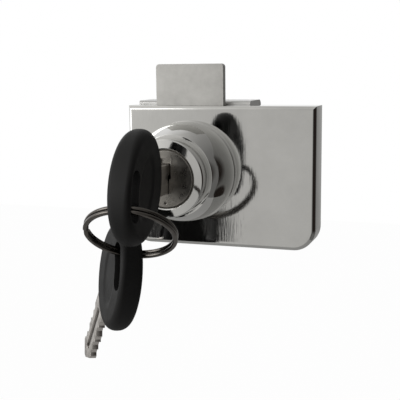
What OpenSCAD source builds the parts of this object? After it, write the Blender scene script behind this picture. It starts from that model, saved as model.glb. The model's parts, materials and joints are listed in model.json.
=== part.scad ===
// Glass cabinet door lock with two folding keys on a split ring.
// Millimetres. The origin is on the plug's axis, in the plane where the glass sits.
// +Z is up, the key comes in from -Y, and the glass lies behind the origin at +Y.

/* [Case] */
// Width of the front plate
case_w = 57.2; // [56:0.2:60]
// Height of the front plate
case_h = 41.5; // [40.5:0.5:44]
// Depth from the front face to the rear rim
case_d = 8.5; // [8.3:0.1:9]
// Plug axis from the left edge
axis_left = 19; // [19:0.2:21]
// Plug axis below the top edge
axis_top = 19.2; // [18.8:0.1:19.6]
// Radius of the two lower corners
corner_r = 6.5; // [4:0.5:7]
// Chamfer round the front face
edge_c = 0.9; // [0.5:0.1:1.2]
// Thickness of the front wall
front_wall = 1.9; // [1.7:0.1:2.1]
// Thickness of the side walls
side_wall = 1.8; // [1.5:0.1:2]

/* [Boss and barrel] */
// Radius of the boss where it meets the plate
boss_r = 15.3; // [14.8:0.1:16]
// Radius of the boss at its shoulder
shoulder_r = 11.8; // [11.6:0.1:12.4]
// Height of the shoulder above the plate
shoulder_h = 13; // [12:0.5:14]
// Bulge of the boss's side over its straight chord
boss_bulge = 1; // [0.6:0.1:1.4]
// Height of the thin rim at the foot of the boss
rim_h = 0.8; // [0.5:0.1:1.2]
// Radius of the barrel's collar
collar_r = 11; // [10.8:0.1:11.4]
// Height of the collar's face above the plate
collar_h = 18.8; // [18.4:0.1:19.4]
// How far the collar's face falls back towards its outer edge
collar_fall = 0.35; // [0.2:0.05:0.5]
// Radius of the barrel inside the boss
barrel_r = 10; // [9.9:0.1:10.2]

/* [Plug] */
// Radius of the plug
plug_r = 8.25; // [8.2:0.05:8.4]
// Radius of the plug's rear journal
journal_r = 7.4; // [7.2:0.1:7.5]
// How far the plug's face lies below the collar's face
plug_recess = 0.25; // [0.1:0.05:0.5]
// Number of wafers
wafer_n = 5; // [4:1:5]
// Pitch of the wafers
wafer_pitch = 2.8; // [2.6:0.1:2.9]
// Thickness of a wafer
wafer_t = 0.9; // [0.7:0.1:1]
// How far a wafer springs out of the plug
wafer_lift = 0.8; // [0.6:0.1:0.8]

/* [Bolt] */
// Width of the bolt
bolt_w = 20.9; // [20.4:0.1:21.2]
// Thickness of the bolt
bolt_t = 2.2; // [2:0.1:2.3]
// How far the bolt stands out of the case when locked
bolt_out = 12.1; // [11:0.1:13]
// Radius of the bolt's two upper corners
bolt_corner_r = 1; // [0.5:0.1:2]
// Travel of the bolt in half a turn of the plug
bolt_throw = 12; // [11.5:0.1:12]

/* [Glass clamp] */
// Width of the strap over the glass edge
strap_w = 35.2; // [34:0.2:35.4]
// Thickness of the strap
strap_t = 1.8; // [1.6:0.1:1.9]
// Height of the strap's top above the case
strap_rise = 1.2; // [1:0.1:1.6]
// Gap between the glass pad and the strap's rear leg
glass_gap = 6.8; // [6.6:0.1:8]
// How far the glass pad stands behind the case
pad_proud = 0.4; // [0.3:0.1:0.6]
// Distance between the two clamp screws
clamp_pitch = 20; // [18:0.5:21]
// Radius of a clamp screw
clamp_r = 2.45; // [2:0.05:2.5]

/* [Keys] */
// Long diameter of a key head
head_l = 30.4; // [29.5:0.1:31]
// Short diameter of a key head
head_w = 21; // [20.4:0.1:21.4]
// Thickness of a key head
head_t = 6.4; // [6.2:0.1:6.8]
// Radius of the head's rounded edge
head_edge = 1.4; // [1.2:0.1:1.6]
// Width of the head's ring slot
slot_w = 4.6; // [4.5:0.1:4.8]
// Plastic left between the ring slot and the head's edge
slot_rim = 1.1; // [1:0.1:1.2]
// Length of a blade from its pin to its tip
blade_l = 31.2; // [30.8:0.1:31.4]
// Width of a blade
blade_w = 8; // [7.8:0.1:8]
// Thickness of a blade
blade_t = 2; // [1.8:0.1:2]
// Fold of the key in the lock
key_fold = 22.9; // [20:0.5:25]
// Fold of the spare key
spare_fold = 61; // [45:1:64]

/* [Ring] */
// Mean radius of the split ring
ring_r = 11.6; // [11.5:0.05:11.7]
// Radial width of the ring's wire
wire_w = 1.3; // [1.1:0.1:1.3]
// Thickness of the ring's wire
wire_t = 0.85; // [0.75:0.05:0.85]
// Gap between the ring's two turns
turn_gap = 0.45; // [0.42:0.01:0.46]
// Slope of the ring down and back from the key
ring_slope = 40.9; // [40.4:0.1:41.4]
// Turn of the ring about the vertical
ring_yaw = 9.9; // [9.4:0.1:10.2]
// Where the spare key hangs, as an angle from the ring's lowest point
spare_place = 15.3; // [15:0.1:15.8]
// Turn of the spare key about the vertical
spare_yaw = 41.6; // [41:0.1:42]
// Lean of the spare key to its side
spare_lean = 7.6; // [7.2:0.1:8]

/* [Hidden] */
$fn = 64;

// Clearances: a running fit, a sliding fit, a fixed seat, and the air between parts that pass
run_fit = 0.05;
slide_fit = 0.2;
seat_fit = 0.05;
air = 0.3;

// How far cutters reach past a face
past = 1;

// Levels along Y from the front face to the glass
barrel_short = 0.35;
journal_l = 2.2;
plug_tail = 1;
cover_t = 1.2;
case_back = -pad_proud;
case_front = case_back - case_d;
bolt_front = case_front + front_wall + slide_fit;
bolt_back = bolt_front + bolt_t;
cover_front = bolt_back + slide_fit;
cover_back = cover_front + cover_t;
leg_back = cover_back + strap_t;
collar_front = case_front - collar_h;
shoulder_front = case_front - shoulder_h;
plug_front = collar_front + plug_recess;
barrel_back = case_front - barrel_short;
plug_back = case_front + plug_tail;
cam_t = bolt_front - air - plug_back;
cam_back = plug_back + cam_t;
step_y = barrel_back - journal_l;

// Edges of the plate round the plug's axis
case_x0 = -axis_left;
case_x1 = case_w - axis_left;
case_z1 = axis_top;
case_z0 = axis_top - case_h;

// Boss: centre of the arc that bulges out between the rim and the shoulder
rim_step = 0.4;
arc_foot = [boss_r - rim_step, -case_front + rim_h];
arc_top = [shoulder_r, -shoulder_front];
arc_mid = (arc_foot + arc_top) / 2;
arc_chord = arc_top - arc_foot;
arc_half = norm(arc_chord) / 2;
arc_r = (arc_half * arc_half + boss_bulge * boss_bulge) / (2 * boss_bulge);
arc_inward = [-arc_chord[1], arc_chord[0]] / norm(arc_chord);
arc_centre = arc_mid + arc_inward * (arc_r - boss_bulge);

// Keyway, clip groove and wafers
key_play = 0.15;
keyway_w = blade_t + 2 * key_play;
keyway_h = blade_w + 2 * key_play;
clip_t = 0.7;
clip_r = 9;
clip_depth = 0.8;
groove_r = journal_r - clip_depth;
wafer_w = 8.8;
wafer_start = 2.25;
wafer_first = plug_front + wafer_start;
wafer_window = blade_w + 2 * (wafer_lift + air);
wafer_y = [for (i = [0:wafer_n - 1]) wafer_first + i * wafer_pitch];
wafer_side = [for (i = [0:wafer_n - 1]) i % 2 == 0 ? 1 : -1];
lug_w = 1.6;
lug_h = 0.8;
spring_r = 0.65;
spring_l = 4.4;
spring_x = (wafer_w + lug_w) / 2;

// Cam pin and the bolt's cross slot, wide enough for the pin at a steady ratio of travel to turn
pin_throw = bolt_throw / 2;
pin_r = 1.9;
cam_rim = 0.6;
cam_r = pin_throw + pin_r + cam_rim;
pin_play = 0.12;
lead = function (a) pin_throw * (cos(a) - 1 + a / 90);
bolt_slot_h = 2 * (lead(asin(2 / PI)) + pin_r + pin_play);
bolt_slot_l = 2 * (pin_throw + pin_r + pin_play);
bolt_foot = 4.2;
bolt_play = 0.1;
end_room = 1.5;
bolt_top = case_z1 + bolt_out;
bolt_bottom = pin_throw - bolt_slot_h / 2 - bolt_foot;
channel_bottom = bolt_bottom - bolt_throw - end_room;
channel_w = bolt_w + 2 * bolt_play;

// Strap, feet and clamp screws
strap_top = case_z1 + strap_rise;
web_under = strap_top - strap_t;
strap_inner = glass_gap;
strap_back = strap_inner + strap_t;
leg_step = 0.8;
leg_w = strap_w - 2 * leg_step;
leg_bottom = -14;
tail_bottom = -12;
foot_t = 1.1;
foot_r = 5;
foot_gap = 0.1;
foot_front = strap_inner - foot_gap - foot_t;
clamp_z = 2;
clamp_l = 8;
clamp_tip_r = 1.5;
socket_depth = 0.7;
socket_w = 2.5;
edge_pad_t = 0.8;

// Small screws: shank and head radius, where they go, and where their holes end
tap_floor = 1.5;
screw_end = case_front + tap_floor;
csk_shank = 1.5;
csk_head = 2.8;
bracket_screw_in = 3;
bracket_screw_x = leg_w / 2 - bracket_screw_in;
bracket_screw_z = -8;
cover_shank = 1.25;
cover_head = 2.2;
cover_head_h = 1.1;
cover_screw_in = 4.5;
cover_screw_top = 5;
cover_screw_low = 6;
cover_screw_x = case_x1 - side_wall - cover_screw_in;
cover_screw_z = [case_z1 - side_wall - cover_screw_top, case_z0 + side_wall + cover_screw_low];
cam_shank = 0.8;
cam_head = 1.5;
cam_screw_x = 4.8;
cam_cone = cam_head - cam_shank;
cam_grip = 2.6;

// Key head: an oval with a rounded rim, and its levels from one face to the other
oval_n = 48;
rim_n = 5;
oval_point = function (t, inset) let (n = [head_l * cos(t), head_w * sin(t)])
    [head_w / 2 * cos(t), head_l / 2 * sin(t)] - n * inset / norm(n);
oval_points = function (inset) [for (i = [1:oval_n]) oval_point(-i * 360 / oval_n, inset)];
rim = [
    for (i = [0:rim_n]) let (a = 90 * i / rim_n)
        [head_edge * (1 - cos(a)), head_t / 2 - head_edge * (1 - sin(a))]
];
head_levels = concat([for (i = [rim_n:-1:0]) [rim[i][0], -rim[i][1]]], rim);

// Pin of the key, the blade's eye and the field sunk into the head
pin_y = 7.5;
pin_z = 2.5;
key_pin_r = 1.2;
slit_w = blade_t + 2 * slide_fit;
eye_r = blade_w / 2;
eye_room = 0.6;
slot_land = 0.5;
recess_in = slot_rim + slot_w + slot_land;
recess_d = 0.35;

// Ring slot: an arc along the head's outer edge, and where the ring lies in it
flank_r = 19.6;
side_d = flank_r - head_w / 2;
slot_start = 0.2;
slot_end = 8;
slot_r = flank_r - slot_rim - slot_w / 2;
slot_from = 180 - asin(slot_start / slot_r);
slot_to = 180 + asin(slot_end / slot_r);
hook = function (along, out) let (r = slot_r + out, a = 180 + asin(along / slot_r))
    [0, side_d + r * cos(a) - pin_y, r * sin(a) - pin_z];
key_along = 7;
key_out = 0.52;
ring_side = -0.25;
hang_along = 7.56;
hang_out = -0.6;
key_hook = hook(key_along, key_out);
hang_hook = hook(hang_along, hang_out);

// Places of the keys and the ring
tip_gap = 0.8;
tip_y = plug_back - tip_gap;
key_at = [0, tip_y - blade_l, 0];
rot_x = function (a, v) [v[0], v[1] * cos(a) - v[2] * sin(a), v[1] * sin(a) + v[2] * cos(a)];
rot_y = function (a, v) [v[0] * cos(a) + v[2] * sin(a), v[1], v[2] * cos(a) - v[0] * sin(a)];
rot_z = function (a, v) [v[0] * cos(a) - v[1] * sin(a), v[0] * sin(a) + v[1] * cos(a), v[2]];
ring_turn = function (v) rot_z(ring_yaw, rot_x(-ring_slope, v));
spare_turn = function (v) rot_z(spare_yaw, rot_y(spare_lean + 180, v));
ring_hook = key_at + rot_x(-key_fold, key_hook) + [ring_side, 0, 0];
spare_a = 90 + spare_place;
spare_hook = ring_hook + ring_turn([ring_r * cos(spare_a), ring_r * (1 + sin(spare_a)), 0]);
spare_pin = spare_hook - spare_turn(hang_hook);

// Ring wire: two turns that change level at the split
split_a = 186;
split_half = 7;
turn_rise = wire_t + turn_gap;
coil_step = 7.5;
coil_a = concat(
    [for (a = [split_half:coil_step:360 - split_half - 1]) a],
    [for (a = [360 - split_half:1:360 + split_half]) a],
    [for (a = [360 + split_half + 1:coil_step:720 - split_half - 1]) a],
    [720 - split_half]
);
ease = function (t) (1 - cos(180 * min(1, max(0, t)))) / 2;
coil_z = function (a) turn_rise * (ease((a - 360 + split_half) / (2 * split_half)) - 0.5);
coil_point = function (a, u, z)
    [(ring_r + u) * cos(split_a + a), (ring_r + u) * sin(split_a + a), coil_z(a) + z];
wire_c = 0.25;
wire_section = [
    [-wire_w / 2, -wire_t / 2 + wire_c], [-wire_w / 2 + wire_c, -wire_t / 2],
    [wire_w / 2 - wire_c, -wire_t / 2], [wire_w / 2, -wire_t / 2 + wire_c],
    [wire_w / 2, wire_t / 2 - wire_c], [wire_w / 2 - wire_c, wire_t / 2],
    [-wire_w / 2 + wire_c, wire_t / 2], [-wire_w / 2, wire_t / 2 - wire_c]
];
coil_gap = min([for (a = [split_half:1:360 - split_half]) coil_z(a + 360) - coil_z(a) - wire_t]);
echo(least_gap_between_ring_turns = coil_gap);
echo(key_at = key_at, ring_hook = ring_hook, spare_hook = spare_hook, spare_pin = spare_pin);
echo(spare_swing_axis = ring_turn([-sin(spare_a), cos(spare_a), 0]));
echo(spare_fold_axis = spare_turn([1, 0, 0]));
echo(case_front = case_front, bolt_front = bolt_front, cover_front = cover_front, leg_back = leg_back);

// Colours
chrome = [0.78, 0.78, 0.77];
satin = [0.4, 0.39, 0.37];
steel = [0.66, 0.65, 0.63];
zinc = [0.72, 0.73, 0.73];
brass = [0.75, 0.62, 0.35];
black = [0.06, 0.06, 0.06];
clear = [0.85, 0.86, 0.85];

// A flat shape in X and Z, thickened along Y from y0 to y1
module slab(y0, y1) {
    translate([0, y1, 0]) rotate([90, 0, 0]) linear_extrude(y1 - y0) children();
}

// A profile of radius and height turned round the plug's axis, height counted towards -Y
module turned() {
    rotate([90, 0, 0]) rotate_extrude() children();
}

// A round bar along Y from y0 to y1
module bar_y(r, y0, y1, x = 0, z = 0) {
    translate([x, y1, z]) rotate([90, 0, 0]) cylinder(r = r, h = y1 - y0);
}

// A block given by its two opposite corners
module block(from, to) {
    translate(from) cube(to - from);
}

// Square with four rounded corners, centred
module round_square(w, h, r) {
    square([w - 2 * r, h], center = true);
    square([w, h - 2 * r], center = true);
    for (x = [-1, 1], z = [-1, 1]) {
        translate([x * (w / 2 - r), z * (h / 2 - r)]) circle(r);
    }
}

// Outline of the plate, with square upper and round lower corners
module plate_face(inset) {
    r = corner_r - inset;
    w = case_w - 2 * inset;
    h = case_h - 2 * inset;
    translate([case_x0 + inset, case_z0 + inset + r]) square([w, h - r]);
    translate([case_x0 + inset + r, case_z0 + inset]) square([w - 2 * r, 2 * r]);
    for (x = [case_x0 + corner_r, case_x1 - corner_r]) {
        translate([x, case_z0 + corner_r]) circle(r);
    }
}

// Cutter for the chamfer along a straight edge of the plate
module edge_wedge(length) {
    linear_extrude(length) polygon([[-past, -past], [edge_c + past, -past], [-past, edge_c + past]]);
}

// Cutter for the chamfer round a lower corner, from the given angle
module corner_wedge(x, start) {
    top = -case_front;
    translate([x, 0, case_z0 + corner_r]) rotate([90, 0, 0]) rotate([0, 0, start])
        rotate_extrude(angle = 90) polygon([
            [corner_r - edge_c - past, top + past],
            [corner_r + past, top + past],
            [corner_r + past, top - edge_c - past]
        ]);
}

// All the chamfers of the front face
module front_chamfer() {
    translate([case_x0 - past, case_front, case_z1]) rotate([0, 90, 0]) edge_wedge(case_w + 2 * past);
    translate([case_x0 + corner_r, case_front, case_z0]) mirror([0, 0, 1]) rotate([0, 90, 0])
        edge_wedge(case_w - 2 * corner_r);
    translate([case_x0, case_front, case_z0 + corner_r]) edge_wedge(case_h - corner_r + past);
    translate([case_x1, case_front, case_z0 + corner_r]) mirror([1, 0, 0])
        edge_wedge(case_h - corner_r + past);
    corner_wedge(case_x0 + corner_r, 180);
    corner_wedge(case_x1 - corner_r, 270);
}

// Boss profile: thin rim, bulging side, shoulder
module boss_profile() {
    foot = -case_front;
    translate([0, foot - front_wall]) square([boss_r, front_wall + rim_h]);
    intersection() {
        translate([0, foot]) square([boss_r - rim_step, shoulder_h]);
        translate(arc_centre) circle(arc_r, $fn = 128);
    }
}

// Hollow at the case's right, with the two posts of the cover screws left standing
module side_hollow() {
    rib = 6;
    thick = 1;
    wall = side_wall + thick;
    post_r = 3.2;
    difference() {
        block(
            [channel_w / 2 + rib, bolt_front - slide_fit, case_z0 + wall + end_room],
            [case_x1 - wall, cover_front, case_z1 - wall]
        );
        for (z = cover_screw_z) bar_y(post_r, case_front, 0, cover_screw_x, z);
    }
}

module lock_case() {
    web_room = 2;
    color(chrome) difference() {
        union() {
            difference() {
                slab(case_front, case_back) plate_face(0);
                front_chamfer();
            }
            turned() boss_profile();
        }
        bar_y(barrel_r + seat_fit, collar_front, bolt_front);
        slab(cover_front, past) plate_face(side_wall);
        block(
            [-channel_w / 2, bolt_front - slide_fit, channel_bottom],
            [channel_w / 2, cover_front + seat_fit, case_z1 + past]
        );
        side_hollow();
        block(
            [-strap_w / 2 - seat_fit, cover_back - seat_fit, web_under - web_room],
            [strap_w / 2 + seat_fit, past, case_z1 + past]
        );
        block(
            [-leg_w / 2 - slide_fit, cover_back - seat_fit, leg_bottom - slide_fit],
            [leg_w / 2 + slide_fit, past, web_under - web_room]
        );
        for (x = [-bracket_screw_x, bracket_screw_x]) {
            bar_y(csk_shank + seat_fit, screw_end, 0, x, bracket_screw_z);
        }
        for (z = cover_screw_z) {
            bar_y(cover_shank + seat_fit, screw_end, 0, cover_screw_x, z);
        }
    }
}

module lock_barrel() {
    bore = plug_r + run_fit;
    lip = 0.3;
    color(chrome) difference() {
        turned() polygon([
            [journal_r + run_fit, -barrel_back], [barrel_r, -barrel_back],
            [barrel_r, -shoulder_front], [collar_r, -shoulder_front],
            [collar_r, -collar_front - lip - collar_fall], [collar_r - lip, -collar_front - collar_fall],
            [bore + lip, -collar_front], [bore, -collar_front - lip],
            [bore, -step_y - run_fit], [journal_r + run_fit, -step_y - run_fit]
        ]);
        wafer_groove();
    }
}

// Grooves above and below the plug that take the wafers
module wafer_groove() {
    w = wafer_w / 2 + air;
    h = plug_r + wafer_lift + slide_fit;
    last = wafer_y[wafer_n - 1];
    block([-w, wafer_first - wafer_t, -h], [w, last + wafer_t, h]);
}

module lock_plug() {
    bevel = 0.4;
    clip_end = barrel_back + clip_t + run_fit;
    tap_depth = 3;
    color(satin) difference() {
        turned() polygon([
            [0, -plug_back], [journal_r, -plug_back],
            [journal_r, -clip_end], [groove_r, -clip_end],
            [groove_r, -barrel_back], [journal_r, -barrel_back],
            [journal_r, -step_y], [plug_r, -step_y],
            [plug_r, -plug_front - bevel], [plug_r - bevel, -plug_front], [0, -plug_front]
        ]);
        keyway();
        at_wafers() wafer_slot();
        for (x = [-cam_screw_x, cam_screw_x]) {
            bar_y(cam_shank + seat_fit, plug_back - tap_depth, plug_back + past, x);
        }
    }
}

// Keyway with the notch at its top and the small pit below it
module keyway() {
    front = plug_front - past;
    side = keyway_w / 2;
    half = keyway_h / 2;
    notch = [1.7, 1.2, 1.6];
    pit_r = 0.4;
    pit_depth = 0.6;
    pit_in = 1.5;
    block([-side, front, -half], [side, tip_y + slide_fit, half]);
    block([-notch[0], front, 0], [notch[0], plug_front + notch[1], half + notch[2]]);
    bar_y(pit_r, front, plug_front + pit_depth, 0, pit_in - plug_r);
}

// Puts a child at each wafer's place, turned to the side it springs to
module at_wafers(sides = [-1, 1]) {
    for (i = [0:wafer_n - 1]) if (search(wafer_side[i], sides)) {
        translate([0, wafer_y[i], 0]) rotate([0, 90 - 90 * wafer_side[i], 0]) children();
    }
}

// Room for one wafer, its lug and its spring
module wafer_slot() {
    t = wafer_t / 2 + run_fit;
    w = wafer_w / 2 + run_fit;
    lug_from = spring_l / 2;
    block([-w, -t, -plug_r - past], [w, t, plug_r + past]);
    block(
        [wafer_w / 2 - past, -t, lug_from - run_fit],
        [wafer_w / 2 + lug_w + 2 * run_fit, t, lug_from + lug_h + wafer_lift + slide_fit]
    );
    translate([spring_x, 0, -lug_from - run_fit]) {
        cylinder(r = spring_r + 2 * run_fit, h = spring_l + 2 * run_fit);
    }
}

// One wafer at the level where the key holds it, its lug above the spring
module wafer() {
    difference() {
        union() {
            intersection() {
                block([-wafer_w / 2, -wafer_t / 2, -plug_r], [wafer_w / 2, wafer_t / 2, plug_r]);
                bar_y(plug_r - run_fit, -wafer_t, wafer_t);
            }
            block(
                [wafer_w / 2 - past, -wafer_t / 2, spring_l / 2 + run_fit],
                [wafer_w / 2 + lug_w, wafer_t / 2, spring_l / 2 + lug_h]
            );
        }
        block(
            [-keyway_w / 2 - run_fit, -wafer_t, -wafer_window / 2],
            [keyway_w / 2 + run_fit, wafer_t, wafer_window / 2]
        );
    }
}

module wafers_up() {
    color(brass) at_wafers([1]) wafer();
}

module wafers_down() {
    color(brass) at_wafers([-1]) wafer();
}

module wafer_springs() {
    color(steel) at_wafers() translate([spring_x, 0, -spring_l / 2]) {
        cylinder(r = spring_r, h = spring_l);
    }
}

module plug_clip() {
    gap = 5;
    color(steel) difference() {
        bar_y(clip_r, barrel_back + run_fit / 2, barrel_back + clip_t);
        bar_y(groove_r + run_fit, barrel_back - past, barrel_back + clip_t + past);
        block([-gap / 2, barrel_back - past, -clip_r - past], [gap / 2, barrel_back + clip_t + past, 0]);
    }
}

module drive_cam() {
    shank = cam_shank + seat_fit;
    head = cam_head + seat_fit;
    color(zinc) difference() {
        union() {
            bar_y(cam_r, plug_back, cam_back);
            bar_y(pin_r, plug_back, cover_front - air, 0, pin_throw);
        }
        for (x = [-cam_screw_x, cam_screw_x]) translate([x, 0, 0]) {
            turned() polygon([
                [0, past - plug_back], [shank, past - plug_back], [shank, cam_cone - cam_back],
                [head, -cam_back], [head, -cam_back - past], [0, -cam_back - past]
            ]);
        }
    }
}

// Driver slot across a screw head whose face is at y
module driver_slot(y, head, depth) {
    half = head / 7;
    block([-head - past, y - depth, -half], [head + past, y + past, half]);
}

// Countersunk screw with a slot, head face at y, shank towards -Y
module csk_screw(y, shank, head, cone, length) {
    difference() {
        turned() polygon([
            [0, -y], [head, -y], [shank, -y + cone], [shank, -y + length], [0, -y + length]
        ]);
        driver_slot(y, head, cone / 3);
    }
}

module cam_screws() {
    color(steel) for (x = [-cam_screw_x, cam_screw_x]) translate([x, 0, 0]) {
        csk_screw(cam_back, cam_shank, cam_head, cam_cone, cam_t + cam_grip);
    }
}

module dead_bolt() {
    r = bolt_slot_h / 2;
    half = bolt_slot_l / 2 - r;
    mid = (bolt_top + bolt_bottom) / 2;
    color(steel) slab(bolt_front, bolt_back) difference() {
        translate([0, mid]) round_square(bolt_w, bolt_top - bolt_bottom, bolt_corner_r);
        translate([0, pin_throw]) {
            square([2 * half, bolt_slot_h], center = true);
            for (x = [-half, half]) translate([x, 0]) circle(r);
        }
    }
}

module cover_plate() {
    color(zinc) difference() {
        slab(cover_front, cover_back) plate_face(side_wall + slide_fit);
        for (x = [-bracket_screw_x, bracket_screw_x]) {
            bar_y(csk_shank + seat_fit, cover_front - past, 0, x, bracket_screw_z);
        }
        for (z = cover_screw_z) bar_y(cover_shank + seat_fit, cover_front - past, 0, cover_screw_x, z);
    }
}

module cover_screws() {
    face = cover_back + cover_head_h;
    tip = screw_end + air;
    bevel = 0.4;
    color(steel) for (z = cover_screw_z) translate([cover_screw_x, 0, z]) difference() {
        turned() polygon([
            [0, -face], [cover_head - bevel, -face], [cover_head, bevel - face],
            [cover_head, -cover_back], [cover_shank, -cover_back], [cover_shank, -tip], [0, -tip]
        ]);
        driver_slot(face, cover_head, cover_head_h / 2);
    }
}

// Strap profile in Y and Z: the web with its two bends, and the rear leg
module strap_profile() {
    front_bend = 0.8;
    rear_bend = strap_t;
    translate([cover_back + front_bend, web_under]) {
        square([strap_back - rear_bend - cover_back - front_bend, strap_t]);
    }
    translate([cover_back, web_under]) square([2 * front_bend, strap_t - front_bend]);
    translate([cover_back + front_bend, strap_top - front_bend]) circle(front_bend);
    translate([strap_back - rear_bend, strap_top - rear_bend]) intersection() {
        circle(rear_bend);
        square(rear_bend);
    }
}

module clamp_bracket() {
    tail_h = web_under - tail_bottom;
    leg_h = web_under - leg_bottom;
    tail_corner = 4;
    leg_corner = 3;
    cone_end = leg_back - csk_head + csk_shank;
    color(zinc) difference() {
        union() {
            translate([-strap_w / 2, 0, 0]) rotate([90, 0, 90]) linear_extrude(strap_w) strap_profile();
            slab(strap_inner, strap_back) {
                translate([0, tail_bottom + tail_h / 2]) round_square(strap_w, tail_h, tail_corner);
                translate([-strap_w / 2, web_under - tail_h / 2]) square([strap_w, tail_h / 2]);
            }
            slab(cover_back, leg_back) {
                translate([0, leg_bottom + leg_h / 2]) round_square(leg_w, leg_h, leg_corner);
                translate([-leg_w / 2, web_under - leg_h / 2]) square([leg_w, leg_h / 2]);
            }
        }
        for (x = [-clamp_pitch / 2, clamp_pitch / 2]) {
            bar_y(clamp_r + run_fit, strap_inner - past, strap_back + past, x, clamp_z);
        }
        for (x = [-bracket_screw_x, bracket_screw_x]) translate([x, 0, bracket_screw_z]) turned() polygon([
            [0, -leg_back - past], [csk_head + seat_fit, -leg_back - past],
            [csk_head + seat_fit, -leg_back], [csk_shank + seat_fit, -cone_end],
            [csk_shank + seat_fit, -cover_back + past], [0, -cover_back + past]
        ]);
    }
}

module bracket_screws() {
    sunk = 0.02;
    length = leg_back - screw_end - air;
    color(steel) for (x = [-bracket_screw_x, bracket_screw_x]) translate([x, 0, bracket_screw_z]) {
        csk_screw(leg_back - sunk, csk_shank, csk_head, csk_head - csk_shank, length);
    }
}

module glass_pad() {
    pad_room = 1;
    pad_corner = 2.5;
    h = web_under - edge_pad_t - pad_room - leg_bottom;
    color(clear) slab(leg_back, 0) {
        translate([0, leg_bottom + h / 2]) round_square(leg_w, h, pad_corner);
    }
}

module edge_pad() {
    color(clear) block(
        [-leg_w / 2, slide_fit, web_under - edge_pad_t],
        [leg_w / 2, strap_inner - slide_fit, web_under]
    );
}

// Clamp foot on the screw's tip, at the given side
module clamp_foot(x) {
    bevel = 0.3;
    color(black) translate([x, 0, clamp_z]) difference() {
        turned() polygon([
            [0, -foot_front], [foot_r - bevel, -foot_front], [foot_r, -foot_front - bevel],
            [foot_r, -foot_front - foot_t], [0, -foot_front - foot_t]
        ]);
        bar_y(clamp_tip_r + run_fit, foot_front + foot_t - socket_depth, strap_inner);
    }
}

module clamp_foot_left() {
    clamp_foot(-clamp_pitch / 2);
}

module clamp_foot_right() {
    clamp_foot(clamp_pitch / 2);
}

// Socket screw through the strap's rear leg, at the given side
module clamp_screw(x) {
    tip = foot_front + foot_t - socket_depth + run_fit;
    neck = strap_inner + foot_gap;
    tail = neck + clamp_l;
    bevel = 0.4;
    hex_depth = 3;
    color(steel) translate([x, 0, clamp_z]) difference() {
        turned() polygon([
            [0, -tip], [clamp_tip_r, -tip], [clamp_tip_r, -neck], [clamp_r, -neck - bevel],
            [clamp_r, bevel - tail], [clamp_r - bevel, -tail], [0, -tail]
        ]);
        translate([0, tail + past, 0]) rotate([90, 0, 0]) {
            cylinder(d = socket_w / cos(30), h = hex_depth + past, $fn = 6);
        }
    }
}

module clamp_screw_left() {
    clamp_screw(-clamp_pitch / 2);
}

module clamp_screw_right() {
    clamp_screw(clamp_pitch / 2);
}

// Faces of a skin over m rings of n points, closed at both ends
skin_faces = function (m, n) concat(
    [
        for (i = [0:m - 2], j = [0:n - 1])
            [i * n + j, i * n + (j + 1) % n, (i + 1) * n + (j + 1) % n, (i + 1) * n + j]
    ],
    [[for (j = [n - 1:-1:0]) j], [for (j = [0:n - 1]) (m - 1) * n + j]]
);

// Solid oval with its rounded rim
module head_body() {
    points = [for (level = head_levels, p = oval_points(level[0])) [p[0], p[1], level[1]]];
    polyhedron(points, skin_faces(len(head_levels), oval_n));
}

// Slot along the outer edge that the ring goes through
module ring_slot() {
    translate([side_d, 0, 0]) {
        rotate([0, 0, slot_from]) rotate_extrude(angle = slot_to - slot_from) {
            translate([slot_r - slot_w / 2, -head_t]) square([slot_w, 2 * head_t]);
        }
        for (a = [slot_from, slot_to]) rotate([0, 0, a]) translate([slot_r, 0, -head_t]) {
            cylinder(d = slot_w, h = 2 * head_t);
        }
    }
}

// Key head round its pin: X through the thickness, +Y towards the blade, Z along the oval
module folding_head() {
    color(black) difference() {
        translate([0, -pin_y, -pin_z]) rotate([90, 0, 90]) difference() {
            head_body();
            ring_slot();
            for (z = [head_t / 2 - recess_d, -head_t / 2 - past]) translate([0, 0, z]) {
                linear_extrude(recess_d + past) polygon(oval_points(recess_in));
            }
        }
        block([-slit_w / 2, -eye_r - eye_room, -head_l], [slit_w / 2, head_w, head_l]);
        translate([-head_t, 0, 0]) rotate([0, 90, 0]) cylinder(r = key_pin_r + run_fit, h = 2 * head_t);
    }
}

// Outline of a blade along +Y from its pin, with cuts on both edges
module blade_face() {
    half = blade_w / 2;
    tip_l = 3;
    tip_half = 0.7;
    depth = [0.7, 1.3, 0.5, 1.1, 0.8];
    difference() {
        union() {
            circle(eye_r);
            polygon([
                [0, -half], [blade_l - tip_l, -half], [blade_l, -tip_half],
                [blade_l, tip_half], [blade_l - tip_l, half], [0, half]
            ]);
        }
        for (i = [0:wafer_n - 1]) {
            at = wafer_y[i] - key_at[1];
            blade_cut(at, half, depth[i]);
            mirror([0, 1]) blade_cut(at, half, depth[wafer_n - 1 - i]);
        }
    }
}

// One cut in the upper edge of a blade
module blade_cut(at, half, depth) {
    flat = 0.6;
    polygon([
        [at - flat - depth, half], [at - flat, half - depth], [at + flat, half - depth],
        [at + flat + depth, half], [at + flat + depth, half + past], [at - flat - depth, half + past]
    ]);
}

// Blade round its pin, with a milled groove on each side
module folding_blade() {
    groove_d = 0.45;
    groove_h = 2.2;
    groove_from = 12;
    groove_end = 3.5;
    color(steel) difference() {
        rotate([90, 0, 90]) translate([0, 0, -blade_t / 2]) linear_extrude(blade_t) blade_face();
        for (x = [-blade_t / 2 - past, blade_t / 2 - groove_d]) {
            block([x, groove_from, -groove_h / 2], [x + groove_d + past, blade_l - groove_end, groove_h / 2]);
        }
        translate([-blade_t, 0, 0]) rotate([0, 90, 0]) cylinder(r = key_pin_r + run_fit, h = 2 * blade_t);
    }
}

// Pin that joins a head and its blade
module folding_pin() {
    length = head_t - 2 * (recess_d + 2 * run_fit);
    color(black) translate([-length / 2, 0, 0]) rotate([0, 90, 0]) cylinder(r = key_pin_r, h = length);
}

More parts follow.
